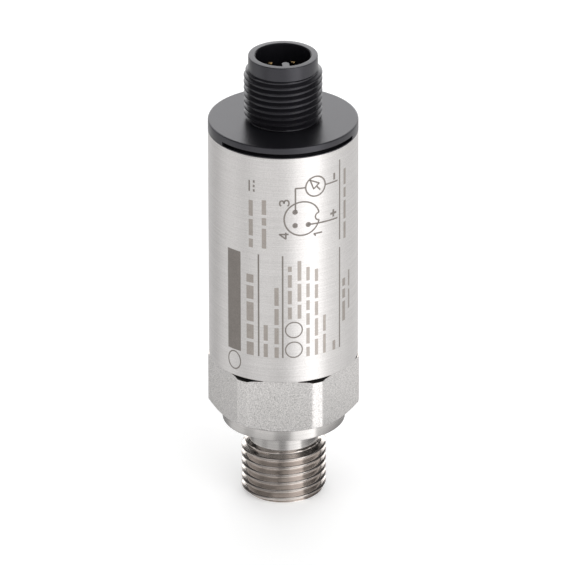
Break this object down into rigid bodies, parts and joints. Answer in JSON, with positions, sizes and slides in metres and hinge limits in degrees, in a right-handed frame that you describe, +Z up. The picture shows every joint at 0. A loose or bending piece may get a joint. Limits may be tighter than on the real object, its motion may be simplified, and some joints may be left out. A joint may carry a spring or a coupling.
{
  "type": "pressure transmitter",
  "caption": "Compact pressure transmitter: steel tube housing with a hexagon and threaded process stud below, and a black cap with a keyed round plug connector on top.",
  "frame": {"origin": "centre of the end face of the threaded stud, which is the lowest point", "axes": "+Z runs up the axis from the stud to the plug; -Y is the side of the plug's key"},
  "size_m": [0.0232, 0.023, 0.0735],
  "materials": {
    "fitting_steel": "turned stainless steel",
    "tube_steel": "finely brushed round the tube",
    "cap_plastic": "black moulded plastic, satin",
    "pin_gold": "gold plated",
    "seal_rubber": "black fluoroelastomer",
    "cell_ceramic": "sintered alumina",
    "cell_glass": "sealing glass",
    "membrane_film": "porous white film",
    "board_laminate": "glass fibre board with green resist",
    "flex_film": "amber film",
    "carrier_plastic": "moulded plastic",
    "resin": "cast resin",
    "chip_plastic": "moulded chip body",
    "chip_ceramic": "fired ceramic",
    "ferrite": "sintered ferrite",
    "ring_steel": "turned steel"
  },
  "bodies": {
    "root": {"process_fitting": "fitting_steel", "stud_seal": "seal_rubber", "housing_tube": "tube_steel", "housing_o_ring": "seal_rubber", "connector_cap": "cap_plastic", "cap_o_ring": "seal_rubber", "vent_membrane": "membrane_film", "contact_pin_1": "pin_gold", "contact_pin_3": "pin_gold", "contact_pin_4": "pin_gold", "pin_resin": "resin", "contact_board": "board_laminate", "main_board": "board_laminate", "board_carrier": "carrier_plastic", "sensor_flex": "flex_film", "cell_o_ring": "seal_rubber", "cell_diaphragm": "cell_ceramic", "cell_glass_joint": "cell_glass", "cell_base": "cell_ceramic", "cell_leads": "pin_gold", "cell_washer": "carrier_plastic", "cell_clamp_ring": "ring_steel", "signal_chip": "chip_plastic", "output_transistor": "chip_plastic", "ceramic_capacitors": "chip_ceramic", "chip_resistors": "chip_ceramic", "protection_diodes": "chip_plastic", "supply_inductor": "ferrite"}
  },
  "joints": []
}
